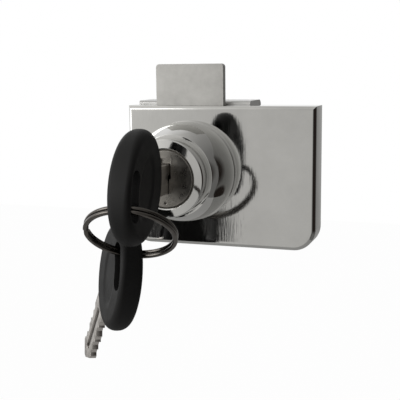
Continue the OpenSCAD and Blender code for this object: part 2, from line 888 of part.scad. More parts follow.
// Places the key in the lock, folded by the given angle
module at_key(fold) {
    translate(key_at) rotate([fold, 0, 0]) children();
}

// Places the spare key on the ring, its blade folded by the given angle
module at_spare(fold) {
    translate(spare_pin) rotate([0, 0, spare_yaw]) rotate([0, spare_lean + 180, 0]) {
        rotate([fold, 0, 0]) children();
    }
}

module key_head() {
    at_key(-key_fold) folding_head();
}

module key_blade() {
    at_key(0) folding_blade();
}

module key_pin() {
    at_key(-key_fold) folding_pin();
}

module spare_key_head() {
    at_spare(0) folding_head();
}

module spare_key_blade() {
    at_spare(spare_fold) folding_blade();
}

module spare_key_pin() {
    at_spare(0) folding_pin();
}

module split_ring() {
    points = [for (a = coil_a, p = wire_section) coil_point(a, p[0], p[1])];
    color(steel) translate(ring_hook) rotate([0, 0, ring_yaw]) rotate([-ring_slope, 0, 0]) {
        translate([0, ring_r, 0]) polyhedron(points, skin_faces(len(coil_a), len(wire_section)));
    }
}

lock_case();
lock_barrel();
lock_plug();
wafers_up();
wafers_down();
wafer_springs();
plug_clip();
drive_cam();
cam_screws();
dead_bolt();
cover_plate();
cover_screws();
clamp_bracket();
bracket_screws();
glass_pad();
edge_pad();
clamp_foot_left();
clamp_foot_right();
clamp_screw_left();
clamp_screw_right();
key_head();
key_blade();
key_pin();
split_ring();
spare_key_head();
spare_key_blade();
spare_key_pin();
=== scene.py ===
"""Looks of a clamp-on lock for a glass cabinet door, with two folding keys on a split ring."""

import json
import math

import bmesh
import bpy
from mathutils import Matrix, Vector


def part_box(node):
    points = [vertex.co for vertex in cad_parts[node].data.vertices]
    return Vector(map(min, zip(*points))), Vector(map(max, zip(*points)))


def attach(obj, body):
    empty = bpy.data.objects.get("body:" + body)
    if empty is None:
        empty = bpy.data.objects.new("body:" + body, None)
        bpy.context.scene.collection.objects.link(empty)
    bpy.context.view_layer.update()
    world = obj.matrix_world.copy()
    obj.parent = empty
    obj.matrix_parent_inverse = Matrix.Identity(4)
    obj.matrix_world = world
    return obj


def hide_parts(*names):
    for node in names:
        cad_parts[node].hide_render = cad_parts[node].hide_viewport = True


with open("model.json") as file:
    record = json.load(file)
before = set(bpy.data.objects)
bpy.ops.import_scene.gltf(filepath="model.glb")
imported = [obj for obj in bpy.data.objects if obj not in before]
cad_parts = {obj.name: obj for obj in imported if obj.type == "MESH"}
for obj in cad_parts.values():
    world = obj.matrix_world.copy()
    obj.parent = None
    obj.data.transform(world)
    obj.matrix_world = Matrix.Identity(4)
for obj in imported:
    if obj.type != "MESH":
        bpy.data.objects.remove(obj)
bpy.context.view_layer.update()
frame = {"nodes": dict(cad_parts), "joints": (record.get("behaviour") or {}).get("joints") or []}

MM = 0.001

# What the frame gives: the joints' pivots, and the corners of pieces that set the sizes of others
PIVOTS = {joint["name"]: Vector(joint["pos_m"]) for joint in frame["joints"] if "pos_m" in joint}
CASE_LOW, CASE_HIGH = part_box("lock_case")
COVER_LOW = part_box("cover_plate")[0]
BOLT_LOW, BOLT_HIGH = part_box("dead_bolt")
STRAP_LOW, STRAP_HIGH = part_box("clamp_bracket")
SCREW_LOW, SCREW_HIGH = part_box("clamp_screw_left")
SPRINGS_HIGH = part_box("wafer_springs")[1]

# Camera found from the photograph
CAMERA_PLACE = Vector((84.575, -240.162, 31.262)) * MM
CAMERA_YAW = math.radians(19.284)
CAMERA_PITCH = math.radians(9.237)
CAMERA_ROLL = math.radians(-0.668)
PICTURE_SIDE = 400
FOCAL_PIXELS = 837.14
SENSOR = 36.0
CLIP_NEAR = 0.01
CLIP_FAR = 20

# Case: a plate with round lower corners and a chamfered front, a bulging boss, and hollows for the works
CASE_X = (CASE_LOW.x, CASE_HIGH.x)
CASE_Z = (CASE_LOW.z, CASE_HIGH.z)
CASE_BACK = CASE_HIGH.y
CASE_DEPTH = 8.5 * MM
CASE_FRONT = CASE_BACK - CASE_DEPTH
CASE_CORNER = 6.5 * MM
CASE_CHAMFER = 0.9 * MM
CASE_SOFT = 0.22 * MM
BOSS_R = 14.8 * MM
BOSS_RIM = 0.8 * MM
BOSS_STEP = 0.15 * MM
BOSS_SOFT = 0.1 * MM
BOSS_BULGE = 1.0 * MM
SHOULDER_R = 11.8 * MM
SHOULDER_FRONT = CASE_LOW.y
BOSS_SIDES = 192
BOSS_STEPS = 32
BORE_R = 10.05 * MM
BOLT_ROOM = 0.2 * MM
BOLT_PLAY = 0.1 * MM
STRAP_PLAY = 0.05 * MM
WORKS_FRONT = BOLT_LOW.y - BOLT_ROOM
COVER_FRONT = COVER_LOW.y
STRAP_FRONT = STRAP_LOW.y - STRAP_PLAY
WALL = 1.8 * MM
PAST = 1.0 * MM
OVERLAP = 0.02 * MM
CHANNEL_HALF = BOLT_HIGH.x + BOLT_PLAY
CHANNEL_FLOOR = -14.98 * MM
STRAP_HALF = STRAP_HIGH.x + STRAP_PLAY
STRAP_FLOOR = 16.6 * MM
HOLLOW_X = (16.55 * MM, 35.4 * MM)
HOLLOW_Z = (-18.0 * MM, 16.4 * MM)
SCREW_FLOOR = -7.4 * MM
COVER_SCREWS = ((31.9 * MM, 12.4 * MM), (31.9 * MM, -14.5 * MM))
COVER_SCREW_HOLE = 1.3 * MM
COVER_POST = 3.2 * MM
BRACKET_SCREWS = ((-13.8 * MM, -8.0 * MM), (13.8 * MM, -8.0 * MM))
BRACKET_SCREW_HOLE = 1.55 * MM

# Places of the keys: X through the thickness, +Y towards the blade, Z along the oval
KEY_PIN = PIVOTS["key_fold"]
KEY_FOLD = math.radians(-22.9)
SPARE_PIN = PIVOTS["spare_fold"]
SPARE_YAW = math.radians(41.6)
SPARE_LEAN = math.radians(187.6)
SPARE_FOLD = math.radians(61)
BLADE_PLACE = Matrix.Translation(KEY_PIN)
HEAD_PLACE = BLADE_PLACE @ Matrix.Rotation(KEY_FOLD, 4, "X")
SPARE_TURN = Matrix.Rotation(SPARE_YAW, 4, "Z") @ Matrix.Rotation(SPARE_LEAN, 4, "Y")
SPARE_PLACE = Matrix.Translation(SPARE_PIN) @ SPARE_TURN
SPARE_BLADE_PLACE = SPARE_PLACE @ Matrix.Rotation(SPARE_FOLD, 4, "X")

# Key heads: a cushion-like oval beside the pin, rounder at its ends, with a ring slot and a dished field
HEAD_L = 30.4 * MM
HEAD_W = 21.0 * MM
HEAD_T = 6.4 * MM
SIDE_EDGE = 1.3 * MM
END_EDGE_IN = 2.7 * MM
END_EDGE_DEEP = 3.0 * MM
PIN_Y = 7.5 * MM
PIN_Z = 2.5 * MM
PIN_HOLE = 1.25 * MM
PIN_REACH = 2.8 * MM
SLOT_BEND = Vector((9.1, 0)) * MM
SLOT_R = 16.2 * MM
SLOT_W = 4.6 * MM
SLOT_ENDS = (0.2 * MM, 8.0 * MM)
SLOT_FROM = math.pi - math.asin(SLOT_ENDS[0] / SLOT_R)
SLOT_TO = math.pi + math.asin(SLOT_ENDS[1] / SLOT_R)
FIELD_HALF_W = 4.4 * MM
FIELD_HALF_L = 8.6 * MM
FIELD_SLOPE = (1.08, 0.8)
FIELD_DEPTH = 0.35 * MM
SLIT_HALF = 1.2 * MM
SLIT_FROM = -4.6 * MM
OVAL_STEPS = 96
RIM_STEPS = 10
FACE_STEPS = 36
ARC_STEPS = 24
ROUND_STEPS = 12
HEAD_SOFT = 0.25 * MM

# Blades: outline from the pin, cuts on both edges, and a milled groove on each side
BLADE_L = 31.2 * MM
BLADE_HALF = 4.0 * MM
BLADE_SIDE = 1.0 * MM
TIP_L = 3.0 * MM
TIP_HALF = 0.7 * MM
CUT_FIRST = 14.7 * MM
CUT_PITCH = 2.8 * MM
CUT_FLAT = 0.6 * MM
CUT_DEPTHS = [depth * MM for depth in (0.7, 1.3, 0.5, 1.1, 0.8)]
GROOVE_FROM = 12.0 * MM
GROOVE_TO = 27.7 * MM
GROOVE_HALF = 1.1 * MM
GROOVE_DEPTH = 0.45 * MM
BLADE_SOFT = 0.1 * MM
# Painted shade: a dark colour laid over each blade's groove, standing in for the shade in that recess
GROOVE_PAINTED_SHADE = (0.11, 0.1, 0.09)

# Split ring, hung in the slot of the key's head
RING_HOOK = PIVOTS["ring_swing"]
RING_YAW = math.radians(9.9)
RING_SLOPE = math.radians(-40.9)
RING_R = 11.6 * MM
WIRE_W = 1.3 * MM
WIRE_T = 0.97 * MM
WIRE_ROUND = 0.42 * MM
TURN_RISE = 1.18 * MM
SPLIT_AT = math.radians(186)
SPLIT_HALF = math.radians(7)
RING_STEPS = 400
CORNER_STEPS = 5

# Clamp screws: a plain tip, a threaded shank and a hexagon socket, along Y
SCREW_TIP = SCREW_LOW.y
SCREW_NECK = 6.9 * MM
SCREW_TAIL = SCREW_HIGH.y
SCREW_TIP_R = 1.5 * MM
SCREW_R = 2.44 * MM
SCREW_BEVEL = 0.4 * MM
THREAD_PITCH = 0.8 * MM
THREAD_DEPTH = 0.4 * MM
THREAD_STEP = 0.1 * MM
SCREW_SIDES = 48
SOCKET_HALF = 1.25 * MM
SOCKET_DEPTH = 3.0 * MM

# Wafer springs: coils that stand beside the wafers in the plug
SPRING_R = 0.65 * MM
SPRING_X = SPRINGS_HIGH.x - SPRING_R
SPRING_HALF = SPRINGS_HIGH.z
SPRING_FIRST = -25.2 * MM
SPRING_PITCH = 2.8 * MM
SPRING_COUNT = 5
SPRING_WIRE = 0.13 * MM
SPRING_TURNS = 7
SPRING_STEPS = 20
SPRING_SIDES = 8

# Soft liners of the glass slot
GLASS_PAD_CORNER = 2.5 * MM
EDGE_PAD_CORNER = 0.5 * MM
LINER_SOFT = 0.3 * MM

# Room that the metal mirrors: tones from its dark side to its light side, and the white backdrop
ROOM_LIGHT_SIDE = Vector((-0.9, -0.2, 0.25)).normalized()
ROOM_TONES = (
    (0.05, 0.16), (0.2, 0.2), (0.3, 0.26), (0.375, 0.3), (0.5, 0.42), (0.63, 0.58), (0.74, 0.62),
    (0.82, 0.9), (0.96, 1.0))
ROOM_WARMTH = (0.985, 0.96)
WHITE = (1, 1, 1, 1)
BACKDROP_SIDE = Vector((-0.75, 0.65, 0.1)).normalized()
BACKDROP_REACH = (0.4, 0.85)

# Dark things in that room: the direction of each, where it starts and where it is whole, its colour
DARK_SPOTS = (
    ((0.95, -0.2, 0.05), (0.86, 0.95), (0.14, 0.11, 0.1)),
    ((0.6, -0.55, -0.58), (0.955, 0.975), (0.14, 0.11, 0.1)),
    ((-0.347, -0.917, -0.196), (0.998, 0.9986), (0.05, 0.05, 0.05)),
)

# Floor and lamp: places in metres, shares of white that the camera and the metal see
FLOOR_X = (-1.5, 0.3)
FLOOR_Y = (-0.55, 1.5)
FLOOR_LEVEL = -0.3
FLOOR_TONE = (0.45, 0.45, 0.45)
FLOOR_SEEN = 0.98
FLOOR_MIRRORED = 0.08
SOFTBOX_PLACE = Vector((-0.55, -0.55, 0.2))
SOFTBOX_AIM = Vector((0, -0.02, 0))
SOFTBOX_SIZE = 0.45
SOFTBOX_POWER = 1.8

# Creases, and turns that lay an outline's thickness along another axis
CREASE = math.radians(35)
EASE_SEGMENTS = 3
ALONG_Y = Matrix.Rotation(math.pi / 2, 4, "Z")
ALONG_Z = Matrix.Rotation(-math.pi / 2, 4, "Y")

# Grain and wear of the finishes
EVEN = (1, 1, 1)
UPRIGHT_LINES = (1, 1, 0.06)
LEVEL_LINES = (0.08, 1, 1)
SWELL_SCALE = 75
CLOUD_DETAIL = 4
LINE_DETAIL = 2
SWELL_DETAIL = 1
NOISE_ROUGHNESS = 0.6
NOISE_SPREAD = (0.3, 0.7)
EDGE_SAMPLES = 6
EDGE_TURN = (0.995, 0.85)
PLASTIC_SHEEN = 0.25


def add_node(tree, kind, inputs=None, **settings):
    """One shader node with its settings and its fixed input values."""
    made = tree.nodes.new("ShaderNode" + kind)
    for name, value in settings.items():
        setattr(made, name, value)
    for name, value in (inputs or {}).items():
        made.inputs[name].default_value = value
    return made


def new_group(name, inputs, outputs):
    """An empty node group with its sockets, and its input and output nodes."""
    group = bpy.data.node_groups.new(name, "ShaderNodeTree")
    for label, kind in inputs:
        group.interface.new_socket(label, in_out="INPUT", socket_type=kind)
    for label, kind in outputs:
        group.interface.new_socket(label, in_out="OUTPUT", socket_type=kind)
    return group, group.nodes.new("NodeGroupInput"), group.nodes.new("NodeGroupOutput")


def make_grain_group():
    """Noise over the surface, drawn out along the directions that Stretch shrinks."""
    group, start, end = new_group(
        "surface_grain",
        [("Stretch", "NodeSocketVector"), ("Scale", "NodeSocketFloat"), ("Detail", "NodeSocketFloat")],
        [("Mask", "NodeSocketFloat")],
    )
    place = add_node(group, "TexCoord")
    drawn = add_node(group, "VectorMath", operation="MULTIPLY")
    noise = add_node(group, "TexNoise", {"Roughness": NOISE_ROUGHNESS})
    spread = add_node(group, "MapRange", {"From Min": NOISE_SPREAD[0], "From Max": NOISE_SPREAD[1]})
    group.links.new(place.outputs["Object"], drawn.inputs[0])
    group.links.new(start.outputs["Stretch"], drawn.inputs[1])
    group.links.new(drawn.outputs["Vector"], noise.inputs["Vector"])
    group.links.new(start.outputs["Scale"], noise.inputs["Scale"])
    group.links.new(start.outputs["Detail"], noise.inputs["Detail"])
    group.links.new(noise.outputs["Fac"], spread.inputs["Value"])
    group.links.new(spread.outputs["Result"], end.inputs["Mask"])
    return group


def make_edge_group():
    """Normals that round each edge by a small radius, and a mask of those edges for wear."""
    group, start, end = new_group(
        "rounded_edge",
        [("Radius", "NodeSocketFloat")],
        [("Normal", "NodeSocketVector"), ("Mask", "NodeSocketFloat")],
    )
    bevel = add_node(group, "Bevel", samples=EDGE_SAMPLES)
    surface = add_node(group, "NewGeometry")
    same = add_node(group, "VectorMath", operation="DOT_PRODUCT")
    turned = add_node(group, "MapRange", {"From Min": EDGE_TURN[0], "From Max": EDGE_TURN[1]})
    group.links.new(start.outputs["Radius"], bevel.inputs["Radius"])
    group.links.new(bevel.outputs["Normal"], end.inputs["Normal"])
    group.links.new(bevel.outputs["Normal"], same.inputs[0])
    group.links.new(surface.outputs["Normal"], same.inputs[1])
    group.links.new(same.outputs["Value"], turned.inputs["Value"])
    group.links.new(turned.outputs["Result"], end.inputs["Mask"])
    return group


GRAIN = make_grain_group()
EDGE = make_edge_group()


def make_finish(name, dark, light, worn, rough, metallic, cloud, grain, stretch, relief, swell, edge):
    """A finish whose tone and gloss drift in clouds, with relief, a slow swell and worn, rounded edges."""
    made = bpy.data.materials.new(name)
    made.use_nodes = True
    tree = made.node_tree
    shader = tree.nodes["Principled BSDF"]
    shader.inputs["Metallic"].default_value = metallic
    cloud_values = {"Stretch": EVEN, "Scale": cloud, "Detail": CLOUD_DETAIL}
    clouds = add_node(tree, "Group", cloud_values, node_tree=GRAIN)
    tone = add_node(tree, "ValToRGB")
    tone.color_ramp.elements[0].color = (*dark, 1)
    tone.color_ramp.elements[1].color = (*light, 1)
    gloss = add_node(tree, "MapRange", {"To Min": rough[0], "To Max": rough[1]})
    line_values = {"Stretch": stretch, "Scale": grain, "Detail": LINE_DETAIL}
    lines = add_node(tree, "Group", line_values, node_tree=GRAIN)
    bump = add_node(tree, "Bump", {"Distance": relief * MM})
    swell_values = {"Stretch": EVEN, "Scale": SWELL_SCALE, "Detail": SWELL_DETAIL}
    waves = add_node(tree, "Group", swell_values, node_tree=GRAIN)
    roll = add_node(tree, "Bump", {"Distance": swell * MM})
    edges = add_node(tree, "Group", {"Radius": edge * MM}, node_tree=EDGE)
    wear = add_node(tree, "MixRGB", {"Color2": (*worn, 1)})
    wear.name = "wear"
    tree.links.new(clouds.outputs["Mask"], tone.inputs["Fac"])
    tree.links.new(edges.outputs["Mask"], wear.inputs["Fac"])
    tree.links.new(tone.outputs["Color"], wear.inputs["Color1"])
    tree.links.new(wear.outputs["Color"], shader.inputs["Base Color"])
    tree.links.new(clouds.outputs["Mask"], gloss.inputs["Value"])
    tree.links.new(gloss.outputs["Result"], shader.inputs["Roughness"])
    tree.links.new(lines.outputs["Mask"], bump.inputs["Height"])
    tree.links.new(waves.outputs["Mask"], roll.inputs["Height"])
    tree.links.new(edges.outputs["Normal"], roll.inputs["Normal"])
    tree.links.new(roll.outputs["Normal"], bump.inputs["Normal"])
    tree.links.new(bump.outputs["Normal"], shader.inputs["Normal"])
    return made


# Finishes: dark, light and worn colour, roughness, metallic, clouds, grain and its run, relief, swell, edge
MATERIALS = {
    "chrome": make_finish(
        "polished_chrome", (0.59, 0.59, 0.575), (0.65, 0.65, 0.635), (0.68, 0.68, 0.67), (0.03, 0.08), 1,
        90, 2600, UPRIGHT_LINES, 0.002, 0.02, 0.1),
    "plug_satin": make_finish(
        "satin_plug", (0.24, 0.23, 0.21), (0.32, 0.305, 0.28), (0.44, 0.42, 0.39), (0.24, 0.34), 1,
        400, 4000, EVEN, 0.0015, 0.01, 0.15),
    "bolt_steel": make_finish(
        "matte_bolt_steel", (0.38, 0.375, 0.36), (0.53, 0.525, 0.505), (0.58, 0.58, 0.56), (0.42, 0.56), 1,
        150, 3500, LEVEL_LINES, 0.003, 0.02, 0.12),
    "strap_zinc": make_finish(
        "zinc_plated_strap", (0.46, 0.46, 0.45), (0.56, 0.56, 0.55), (0.64, 0.64, 0.63), (0.26, 0.4), 1,
        200, 3000, LEVEL_LINES, 0.003, 0.02, 0.12),
    "screw_steel": make_finish(
        "screw_steel", (0.42, 0.42, 0.41), (0.54, 0.54, 0.53), (0.62, 0.62, 0.61), (0.25, 0.4), 1,
        500, 4000, EVEN, 0.003, 0.005, 0.1),
    "wafer_brass": make_finish(
        "rolled_brass", (0.55, 0.38, 0.16), (0.68, 0.5, 0.24), (0.74, 0.58, 0.32), (0.3, 0.42), 1,
        400, 4000, UPRIGHT_LINES, 0.003, 0.005, 0.06),
    "pad_clear": make_finish(
        "milky_liner", (0.68, 0.69, 0.68), (0.78, 0.79, 0.78), (0.82, 0.83, 0.82), (0.4, 0.55), 0,
        200, 3000, EVEN, 0.006, 0.005, 0.1),
    "foot_black": make_finish(
        "black_foot_plastic", (0.012, 0.012, 0.012), (0.02, 0.02, 0.02), (0.03, 0.03, 0.03), (0.45, 0.6), 0,
        300, 5000, EVEN, 0.006, 0.005, 0.1),
    "key_black": make_finish(
        "black_key_plastic", (0.006, 0.006, 0.006), (0.01, 0.01, 0.01), (0.014, 0.014, 0.014),
        (0.5, 0.62), 0, 250, 7000, EVEN, 0.004, 0.005, 0.15),
    "pin_black": make_finish(
        "blackened_pin", (0.006, 0.006, 0.006), (0.012, 0.012, 0.012), (0.03, 0.03, 0.03), (0.4, 0.55), 0,
        600, 6000, EVEN, 0.003, 0.005, 0.1),
    "key_nickel": make_finish(
        "nickelled_blade", (0.6, 0.572, 0.54), (0.7, 0.672, 0.64), (0.75, 0.725, 0.695), (0.3, 0.44), 1,
        400, 4000, UPRIGHT_LINES, 0.003, 0.005, 0.08),
    "ring_nickel": make_finish(
        "dark_nickelled_wire", (0.1, 0.092, 0.084), (0.15, 0.14, 0.128), (0.22, 0.205, 0.19),
        (0.12, 0.22), 1, 400, 3000, EVEN, 0.002, 0.005, 0.05),
}

for slot in ("key_black", "pin_black"):
    plastic = MATERIALS[slot].node_tree.nodes["Principled BSDF"]
    plastic.inputs["Specular IOR Level"].default_value = PLASTIC_SHEEN

NODE_SLOTS = {name: cad_node.data.materials[0].name for name, cad_node in frame["nodes"].items()}


def dress(piece, slot):
    """Gives a mesh the finish of one material slot."""
    piece.data.materials.clear()
    piece.data.materials.append(MATERIALS[slot])


for name, cad_node in frame["nodes"].items():
    dress(cad_node, NODE_SLOTS[name])


def paint_groove_shade():
    """Painted shade in the milled groove of a blade, which lies along Y in the blade's own frame."""
    tree = MATERIALS["key_nickel"].node_tree
    middle = (GROOVE_FROM + GROOVE_TO) / 2
    half = (GROOVE_TO - GROOVE_FROM) / 2
    place = add_node(tree, "TexCoord")
    apart = add_node(tree, "SeparateXYZ")
    along = add_node(tree, "Math", {1: middle}, operation="SUBTRACT")
    far = add_node(tree, "Math", operation="ABSOLUTE")
    off = add_node(tree, "Math", operation="ABSOLUTE")
    ends = add_node(tree, "MapRange", {"From Min": half, "From Max": half - BLADE_SOFT})
    sides = add_node(tree, "MapRange", {"From Min": GROOVE_HALF, "From Max": GROOVE_HALF - BLADE_SOFT})
    both = add_node(tree, "Math", operation="MULTIPLY")
    painted_shade = add_node(tree, "MixRGB", {"Color2": (*GROOVE_PAINTED_SHADE, 1)})
    shader = tree.nodes["Principled BSDF"]
    tree.links.new(place.outputs["Object"], apart.inputs["Vector"])
    tree.links.new(apart.outputs["Y"], along.inputs[0])
    tree.links.new(along.outputs["Value"], far.inputs[0])
    tree.links.new(apart.outputs["Z"], off.inputs[0])
    tree.links.new(far.outputs["Value"], ends.inputs["Value"])
    tree.links.new(off.outputs["Value"], sides.inputs["Value"])
    tree.links.new(ends.outputs["Result"], both.inputs[0])
    tree.links.new(sides.outputs["Result"], both.inputs[1])
    tree.links.new(both.outputs["Value"], painted_shade.inputs["Fac"])
    tree.links.new(tree.nodes["wear"].outputs["Color"], painted_shade.inputs["Color1"])
    tree.links.new(painted_shade.outputs["Color"], shader.inputs["Base Color"])


paint_groove_shade()


def place_mesh(name, points, faces, place):
    """A closed mesh of the given points and faces, with its faces turned outwards."""
    mesh = bpy.data.meshes.new(name)
    mesh.from_pydata([tuple(p) for p in points], [], faces)
    shape = bmesh.new()
    shape.from_mesh(mesh)
    bmesh.ops.recalc_face_normals(shape, faces=shape.faces)
    shape.to_mesh(mesh)
    shape.free()
    piece = bpy.data.objects.new(name, mesh)
    bpy.context.scene.collection.objects.link(piece)
    piece.matrix_world = place
    return piece


def hand_over(piece, body, node):
    """Smooth shading with creases, the node's finish, and the ties to the frame."""
    piece.data.shade_smooth()
    piece.data.set_sharp_from_angle(angle=CREASE)
    dress(piece, NODE_SLOTS[node])
    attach(piece, body)
    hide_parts(node)


def bake_shape(piece):
    """Turns what the piece's modifiers make into its own mesh."""
    whole = piece.evaluated_get(bpy.context.evaluated_depsgraph_get())
    shaped = bpy.data.meshes.new_from_object(whole)
    piece.modifiers.clear()
    piece.data = shaped


def combine(piece, others, operation):
    """Joins other shapes to a piece, or takes them out of it."""
    for other in others:
        step = piece.modifiers.new("combine", "BOOLEAN")
        step.object = other
        step.operation = operation
        step.solver = "EXACT"
    bake_shape(piece)
    for other in others:
        bpy.data.objects.remove(other)


def cut_away(piece, cutters):
    """Takes the cutters out of a piece."""
    combine(piece, cutters, "DIFFERENCE")


def soften_edges(piece, width):
    """Rounds the creases of a piece."""
    ease = piece.modifiers.new("ease", "BEVEL")
    ease.width = width
    ease.segments = EASE_SEGMENTS
    ease.limit_method = "ANGLE"
    ease.angle_limit = CREASE
    bake_shape(piece)


def tube_faces(rings, sides):
    """Faces of a closed tube: its wall and its two ends."""
    faces = [
        (r * sides + s, r * sides + (s + 1) % sides, (r + 1) * sides + (s + 1) % sides, (r + 1) * sides + s)
        for r in range(rings - 1)
        for s in range(sides)
    ]
    faces.append(tuple(reversed(range(sides))))
    faces.append(tuple(range((rings - 1) * sides, rings * sides)))
    return faces


def make_prism(name, outline, low, high, place):
    """An outline in Y and Z, thickened along X."""
    points = [Vector((x, y, z)) for x in (low, high) for y, z in outline]
    return place_mesh(name, points, tube_faces(2, len(outline)), place)


def arc(middle, radius, start, end, steps):
    """Points along an arc about a middle."""
    spread = [start + (end - start) * i / steps for i in range(steps + 1)]
    return [(middle[0] + radius * math.cos(a), middle[1] + radius * math.sin(a)) for a in spread]


def circle(radius, steps):
    """Points round a circle about the origin."""
    return arc((0, 0), radius, 0, 2 * math.pi * (1 - 1 / steps), steps - 1)


def rounded_section(width, height, corner, steps):
    """Points round a rectangle with round corners, about its middle."""
    points = []
    for turn, (sx, sy) in enumerate(((1, 1), (-1, 1), (-1, -1), (1, -1))):
        middle = (sx * (width / 2 - corner), sy * (height / 2 - corner))
        points += arc(middle, corner, math.pi / 2 * turn, math.pi / 2 * (turn + 1), steps)
    return points


def eased(line, reach):
    """A line of points with its sharp corners rounded off."""
    soft = [line[0]]
    for before, corner, after in zip(line, line[1:], line[2:]):
        if (corner - before).angle(after - corner) < CREASE:
            soft.append(corner)
            continue
        start = corner + (before - corner).normalized() * reach
        end = corner + (after - corner).normalized() * reach
        for i in range(CORNER_STEPS + 1):
            t = i / CORNER_STEPS
            soft.append(start.lerp(corner, t).lerp(corner.lerp(end, t), t))
    soft.append(line[-1])
    return soft


def plate_outline(inset):
    """Points round the plate, drawn in by the inset: square upper and round lower corners."""
    r = CASE_CORNER - inset
    left, right = CASE_X[0] + inset, CASE_X[1] - inset
    low, high = CASE_Z[0] + inset, CASE_Z[1] - inset
    left_corner = arc((left + r, low + r), r, math.pi, math.pi * 1.5, ARC_STEPS)
    right_corner = arc((right - r, low + r), r, math.pi * 1.5, math.pi * 2, ARC_STEPS)
    return [(left, high)] + left_corner + right_corner + [(right, high)]


def boss_line():
    """Radius and level along the boss: inside the plate, over its rim and bulging side, to its shoulder."""
    rim = CASE_FRONT - BOSS_RIM
    foot = Vector((BOSS_R - BOSS_STEP, rim))
    top = Vector((SHOULDER_R, SHOULDER_FRONT))
    chord = top - foot
    r = ((chord.length / 2) ** 2 + BOSS_BULGE ** 2) / (2 * BOSS_BULGE)
    inward = Vector((chord[1], -chord[0])).normalized()
    middle = (foot + top) / 2 + inward * (r - BOSS_BULGE)
    start = math.atan2(foot[1] - middle[1], foot[0] - middle[0])
    end = math.atan2(top[1] - middle[1], top[0] - middle[0])
    side = [Vector(p) for p in arc(middle, r, start, end, BOSS_STEPS)]
    inner = Vector((SHOULDER_R / 2, SHOULDER_FRONT))
    return [Vector((BOSS_R, CASE_FRONT + PAST)), Vector((BOSS_R, rim))] + side + [inner]


def make_bar(name, radius, low, high, x, z):
    """A round bar along Y."""
    place = Matrix.Translation((x, 0, z)) @ ALONG_Y
    return make_prism(name, circle(radius, OVAL_STEPS), low, high, place)


def make_block(name, x, y, z):
    """A block between two limits on each axis."""
    outline = [(y[0], z[0]), (y[1], z[0]), (y[1], z[1]), (y[0], z[1])]
    return make_prism(name, outline, x[0], x[1], Matrix.Identity(4))


def make_case():
    """The cast case: a chamfered plate and a turned boss, hollowed for the barrel, bolt and strap."""
    edge = eased([
        Vector((0, CASE_BACK)), Vector((0, CASE_FRONT + CASE_CHAMFER)),
        Vector((CASE_CHAMFER, CASE_FRONT)), Vector((CASE_CHAMFER * 2, CASE_FRONT)),
    ], CASE_SOFT)
    points = [Vector((x, y, z)) for inset, y in edge for x, z in plate_outline(inset)]
    faces = tube_faces(len(edge), len(plate_outline(0)))
    case = place_mesh("plated_case", points, faces, Matrix.Identity(4))
    line = eased(boss_line(), BOSS_SOFT)
    turns = [2 * math.pi * i / BOSS_SIDES for i in range(BOSS_SIDES)]
    points = [Vector((r * math.cos(a), y, r * math.sin(a))) for r, y in line for a in turns]
    boss = place_mesh("turned_boss", points, tube_faces(len(line), BOSS_SIDES), Matrix.Identity(4))
    combine(case, [boss], "UNION")
    seat = [(-x, z) for x, z in plate_outline(WALL)]
    works = (WORKS_FRONT, COVER_FRONT)
    hollow = make_block("hollow_cut", HOLLOW_X, works, HOLLOW_Z)
    cut_away(hollow, [make_bar("post", COVER_POST, CASE_FRONT, 0, x, z) for x, z in COVER_SCREWS])
    holes = [make_bar("cover_hole", COVER_SCREW_HOLE, SCREW_FLOOR, 0, x, z) for x, z in COVER_SCREWS]
    holes += [make_bar("bracket_hole", BRACKET_SCREW_HOLE, SCREW_FLOOR, 0, x, z) for x, z in BRACKET_SCREWS]
    channel = (CHANNEL_FLOOR, CASE_Z[1] + PAST)
    cut_away(case, holes + [
        hollow,
        make_bar("bore_cut", BORE_R, SHOULDER_FRONT - PAST, WORKS_FRONT + PAST, 0, 0),
        make_prism("cover_seat_cut", seat, COVER_FRONT - OVERLAP, PAST, ALONG_Y),
        make_block("channel_cut", (-CHANNEL_HALF, CHANNEL_HALF), works, channel),
        make_block("strap_cut", (-STRAP_HALF, STRAP_HALF), (STRAP_FRONT, PAST), (STRAP_FLOOR, channel[1])),
    ])
    hand_over(case, "case", "lock_case")


def field_drop(u, v):
    """How far the dished field lies below the face at a point of the head."""
    reach = math.hypot(u / FIELD_HALF_W, v / FIELD_HALF_L)
    share = min(1, max(0, (FIELD_SLOPE[0] - reach) / (FIELD_SLOPE[0] - FIELD_SLOPE[1])))
    return FIELD_DEPTH * share * share * (3 - 2 * share)


def head_side():
    """Rings of points over one side of a key head, from its edge to the middle of its face."""
    rings = []
    turns = [2 * math.pi * i / OVAL_STEPS for i in range(OVAL_STEPS)]
    for i in range(RIM_STEPS + FACE_STEPS):
        a = math.pi / 2 * min(1, i / RIM_STEPS)
        shrink = 1 - max(0, i - RIM_STEPS) / FACE_STEPS
        ring = []
        for t in turns:
            end = math.sin(t) ** 2
            inset = (SIDE_EDGE + (END_EDGE_IN - SIDE_EDGE) * end) * (1 - math.cos(a))
            deep = (SIDE_EDGE + (END_EDGE_DEEP - SIDE_EDGE) * end) * (1 - math.sin(a))
            out = Vector((HEAD_L * math.cos(t), HEAD_W * math.sin(t))).normalized() * inset
            u = shrink * (HEAD_W / 2 * math.cos(t) - out[0])
            v = shrink * (HEAD_L / 2 * math.sin(t) - out[1])
            ring.append(Vector((HEAD_T / 2 - deep - field_drop(u, v), u - PIN_Y, v - PIN_Z)))
        rings.append(ring)
    return rings


